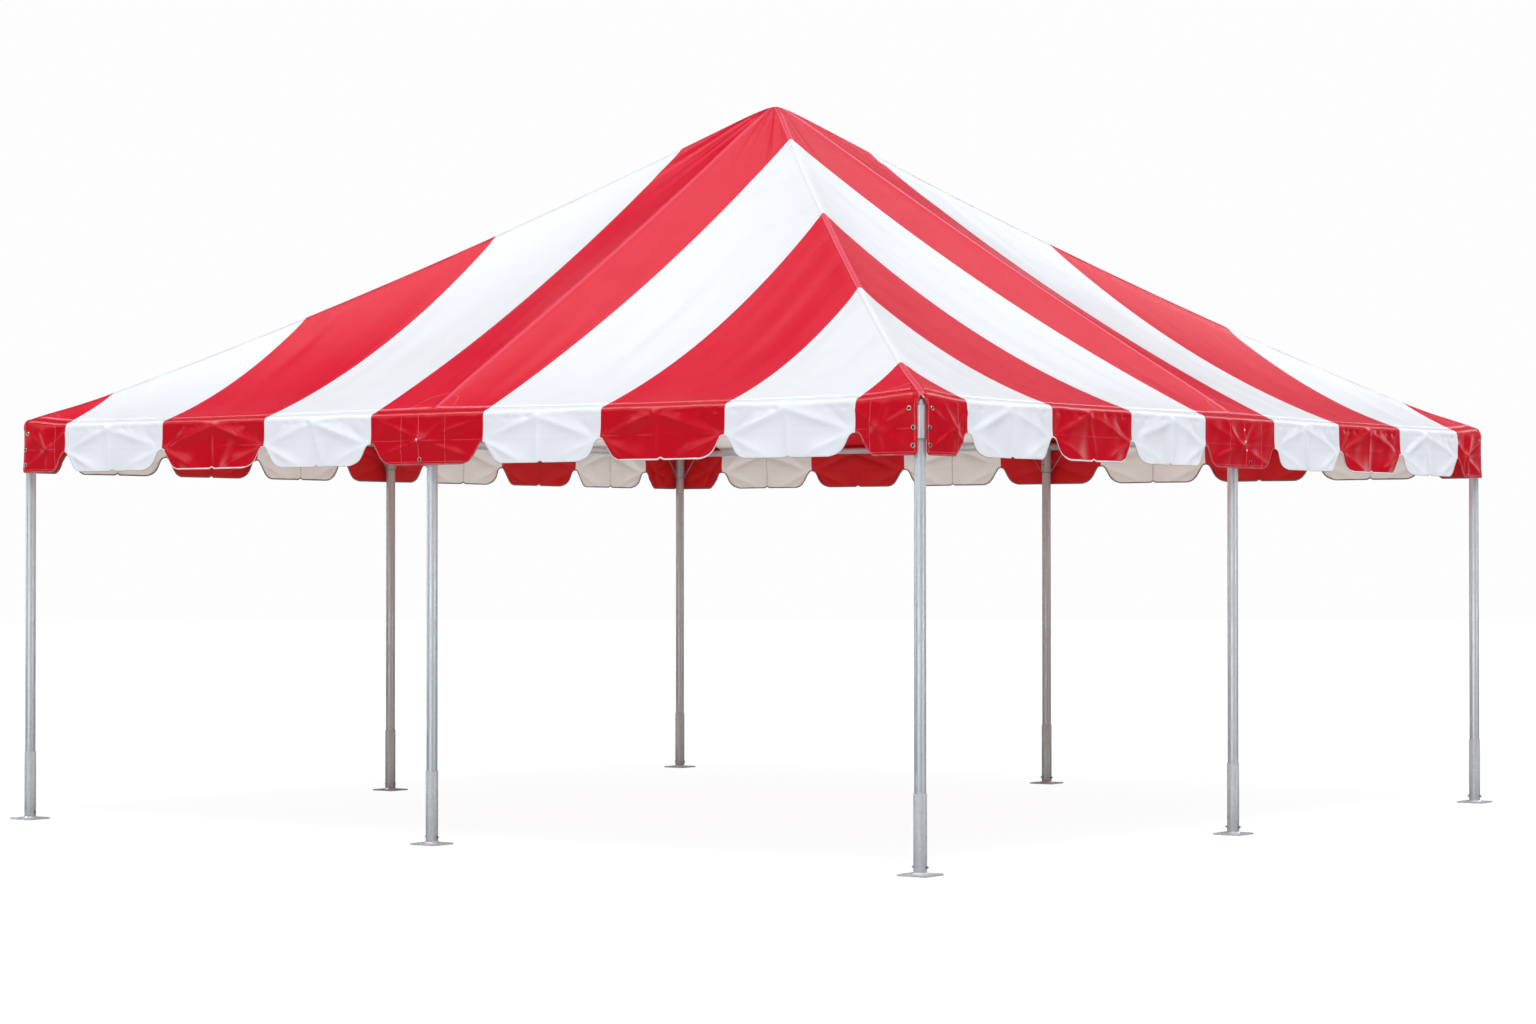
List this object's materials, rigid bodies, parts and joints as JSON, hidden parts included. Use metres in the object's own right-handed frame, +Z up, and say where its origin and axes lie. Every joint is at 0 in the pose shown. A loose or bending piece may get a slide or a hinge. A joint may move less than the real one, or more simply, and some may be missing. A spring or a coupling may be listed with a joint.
{
  "type": "marquee tent",
  "caption": "Square frame tent with a hipped striped canopy, a scalloped valance, and tube legs on flat base plates.",
  "frame": {"origin": "on the ground under the crown, at the middle of the square of legs", "axes": "+Z up; the front is at -Y, the right side at +X"},
  "size_m": [6.261, 6.261, 4.1599],
  "materials": {
    "striped_vinyl": "coated vinyl cloth in red and white stripes, semi-gloss",
    "tube_steel": "galvanised steel tube, smooth and satin",
    "fitting_steel": "galvanised steel fitting, dull",
    "foot_steel": "hot-dip galvanised steel, rough and grey"
  },
  "bodies": {
    "root": {"foot_front_left": "foot_steel", "leg_front_left": "tube_steel", "foot_front_right": "foot_steel", "leg_front_right": "tube_steel", "foot_back_right": "foot_steel", "leg_back_right": "tube_steel", "foot_back_left": "foot_steel", "leg_back_left": "tube_steel", "foot_front_middle": "foot_steel", "leg_front_middle": "tube_steel", "foot_right_middle": "foot_steel", "leg_right_middle": "tube_steel", "foot_back_middle": "foot_steel", "leg_back_middle": "tube_steel", "foot_left_middle": "foot_steel", "leg_left_middle": "tube_steel", "corner_fitting_front_left": "fitting_steel", "hip_rafter_front_left": "tube_steel", "corner_fitting_front_right": "fitting_steel", "hip_rafter_front_right": "tube_steel", "corner_fitting_back_right": "fitting_steel", "hip_rafter_back_right": "tube_steel", "corner_fitting_back_left": "fitting_steel", "hip_rafter_back_left": "tube_steel", "side_fitting_front": "fitting_steel", "side_rafter_front": "tube_steel", "eave_pipe_front_left": "tube_steel", "eave_pipe_front_right": "tube_steel", "roof_panel_front": "striped_vinyl", "valance_front": "striped_vinyl", "side_fitting_right": "fitting_steel", "side_rafter_right": "tube_steel", "eave_pipe_right_front": "tube_steel", "eave_pipe_right_back": "tube_steel", "roof_panel_right": "striped_vinyl", "valance_right": "striped_vinyl", "side_fitting_back": "fitting_steel", "side_rafter_back": "tube_steel", "eave_pipe_back_right": "tube_steel", "eave_pipe_back_left": "tube_steel", "roof_panel_back": "striped_vinyl", "valance_back": "striped_vinyl", "side_fitting_left": "fitting_steel", "side_rafter_left": "tube_steel", "eave_pipe_left_back": "tube_steel", "eave_pipe_left_front": "tube_steel", "roof_panel_left": "striped_vinyl", "valance_left": "striped_vinyl", "crown_fitting": "fitting_steel"}
  },
  "joints": []
}
